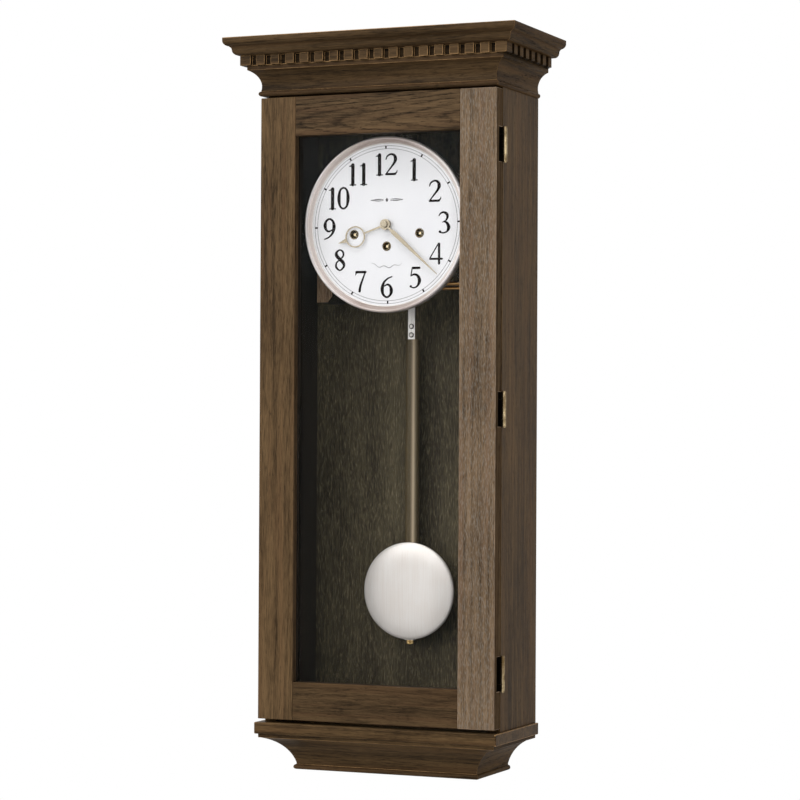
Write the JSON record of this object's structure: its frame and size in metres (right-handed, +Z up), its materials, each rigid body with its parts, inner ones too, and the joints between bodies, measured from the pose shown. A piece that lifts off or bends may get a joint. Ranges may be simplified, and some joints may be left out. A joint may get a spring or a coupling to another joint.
{
  "type": "pendulum wall clock",
  "caption": "Tall wooden wall clock with a glazed hinged door, round dial with two hands, key-wound chiming movement and a swinging pendulum.",
  "frame": {"origin": "centre of the round hole of the keyhole hanger, on the wall plane", "axes": "+Z up, +Y into the wall, +X to the right seen from the front"},
  "size_m": [0.38, 0.1768, 0.8911],
  "materials": {
    "oak_case": "dark stained oak, satin",
    "oak_door": "dark stained oak, satin",
    "oak_back": "dark veneer, matt",
    "steel": "plain steel",
    "brass": "satin brass",
    "rod_brass": "drawn brass",
    "hinge_brass": "antique brass",
    "dial": "off-white paint, matt",
    "bezel": "brushed, satin nickel colour",
    "iron": "black paint",
    "magnet": "black housing",
    "glass": "clear float glass",
    "nickel": "satin nickel",
    "bob": "satin nickel, brushed",
    "hands": "satin nickel-grey brass"
  },
  "bodies": {
    "case": {"side_panel_left": "oak_case", "side_panel_right": "oak_case", "back_panel": "oak_back", "case_top_board": "oak_case", "crown_frieze": "oak_case", "crown_top_board": "oak_case", "crown_cap_front": "oak_case", "crown_cap_returns": "oak_case", "dentil_front": "oak_case", "dentil_returns": "oak_case", "crown_cove_front": "oak_case", "crown_cove_returns": "oak_case", "base_board": "oak_case", "base_moulding_front": "oak_case", "base_moulding_returns": "oak_case", "hanging_rail": "oak_back", "hanger_plate": "steel", "movement_arms": "oak_case", "movement_straps": "steel", "movement_front_plate": "brass", "movement_back_plate": "brass", "movement_pillars": "brass", "suspension_post": "brass", "chime_barrels": "brass", "dial_plate": "dial", "dial_bezel": "bezel", "chime_block": "iron", "chime_rods": "rod_brass", "hinge_case_leaves": "hinge_brass", "hinge_pins": "hinge_brass", "catch_magnet": "magnet"},
    "door": {"door_stile_left": "oak_door", "door_stile_right": "oak_door", "door_rail_top": "oak_door", "door_rail_bottom": "oak_door", "door_glass": "glass", "glass_retainers": "oak_back", "hinge_door_leaves": "hinge_brass", "catch_plate": "steel"},
    "pendulum": {"suspension_spring": "steel", "pendulum_leader": "nickel", "leader_screws": "nickel", "pendulum_stick": "oak_door", "rating_rod": "brass"},
    "bob": {"pendulum_bob": "bob"},
    "rating_nut": {"rating_nut": "brass"},
    "crutch": {"crutch": "steel"},
    "minute_hand": {"minute_hand": "hands", "hand_nut": "hands", "centre_wheel": "brass"},
    "hour_hand": {"hour_hand": "hands", "hour_wheel": "brass"},
    "minute_wheel": {"minute_wheel": "brass"},
    "third_wheel": {"third_wheel": "brass"},
    "escape_wheel": {"escape_wheel": "brass"},
    "time_barrel": {"time_barrel": "brass"},
    "strike_arbor": {"winding_arbor_strike": "steel"},
    "time_arbor": {"winding_arbor_time": "steel"},
    "chime_arbor": {"winding_arbor_chime": "steel"},
    "hammers": {"chime_hammers": "brass"}
  },
  "joints": [
    {"name": "door_swing", "type": "hinge", "parent": "case", "child": "door", "pos_m": [0.1572, -0.121, -0.348], "axis": [0, 0, 1], "range_deg": [0, 110]},
    {"name": "pendulum_swing", "type": "hinge", "parent": "case", "child": "pendulum", "pos_m": [0, -0.0285, -0.084], "axis": [0, 1, 0], "range_deg": [-5, 5]},
    {"name": "crutch_swing", "type": "hinge", "parent": "case", "child": "crutch", "pos_m": [0, -0.047, -0.084], "axis": [0, 1, 0], "range_deg": [-5, 5]},
    {"name": "bob_height", "type": "slide", "parent": "pendulum", "child": "bob", "axis": [0, 0, 1], "range_m": [-0.0024, 0.008]},
    {"name": "nut_spin", "type": "hinge", "parent": "bob", "child": "rating_nut", "pos_m": [0, -0.0305, -0.635], "axis": [0, 0, 1], "range_deg": [-1728, 5760]},
    {"name": "minute_hand_turn", "type": "hinge", "parent": "case", "child": "minute_hand", "pos_m": [0, -0.117, -0.126], "axis": [0, 1, 0], "continuous": true},
    {"name": "hour_hand_turn", "type": "hinge", "parent": "case", "child": "hour_hand", "pos_m": [0, -0.08, -0.126], "axis": [0, 1, 0], "continuous": true},
    {"name": "minute_wheel_turn", "type": "hinge", "parent": "case", "child": "minute_wheel", "pos_m": [-0.00848, -0.08, -0.11751], "axis": [0, 1, 0], "continuous": true},
    {"name": "third_wheel_turn", "type": "hinge", "parent": "case", "child": "third_wheel", "pos_m": [-0.012, -0.08, -0.10794], "axis": [0, 1, 0], "continuous": true},
    {"name": "escape_wheel_turn", "type": "hinge", "parent": "case", "child": "escape_wheel", "pos_m": [0, -0.08, -0.09736], "axis": [0, 1, 0], "continuous": true},
    {"name": "time_barrel_turn", "type": "hinge", "parent": "case", "child": "time_barrel", "pos_m": [0, -0.08, -0.152], "axis": [0, 1, 0], "continuous": true},
    {"name": "strike_winding", "type": "hinge", "parent": "case", "child": "strike_arbor", "pos_m": [-0.043, -0.08, -0.137], "axis": [0, 1, 0], "continuous": true},
    {"name": "time_winding", "type": "hinge", "parent": "case", "child": "time_arbor", "pos_m": [0, -0.08, -0.152], "axis": [0, 1, 0], "continuous": true},
    {"name": "chime_winding", "type": "hinge", "parent": "case", "child": "chime_arbor", "pos_m": [0.043, -0.08, -0.137], "axis": [0, 1, 0], "continuous": true},
    {"name": "hammers_lift", "type": "hinge", "parent": "case", "child": "hammers", "pos_m": [-0.04, -0.078, -0.172], "axis": [0, 1, 0], "range_deg": [-4, 12], "stiffness_Nm_per_rad": 0.05}
  ],
  "couplings": [
    {"joint": "crutch_swing", "follows": "pendulum_swing", "ratio": 1},
    {"joint": "nut_spin", "follows": "bob_height", "rad_per_m": 12566},
    {"joint": "minute_wheel_turn", "follows": "minute_hand_turn", "ratio": -0.33333},
    {"joint": "hour_hand_turn", "follows": "minute_hand_turn", "ratio": 0.083333},
    {"joint": "third_wheel_turn", "follows": "minute_hand_turn", "ratio": -8},
    {"joint": "escape_wheel_turn", "follows": "minute_hand_turn", "ratio": 72},
    {"joint": "time_barrel_turn", "follows": "minute_hand_turn", "ratio": -0.125}
  ]
}
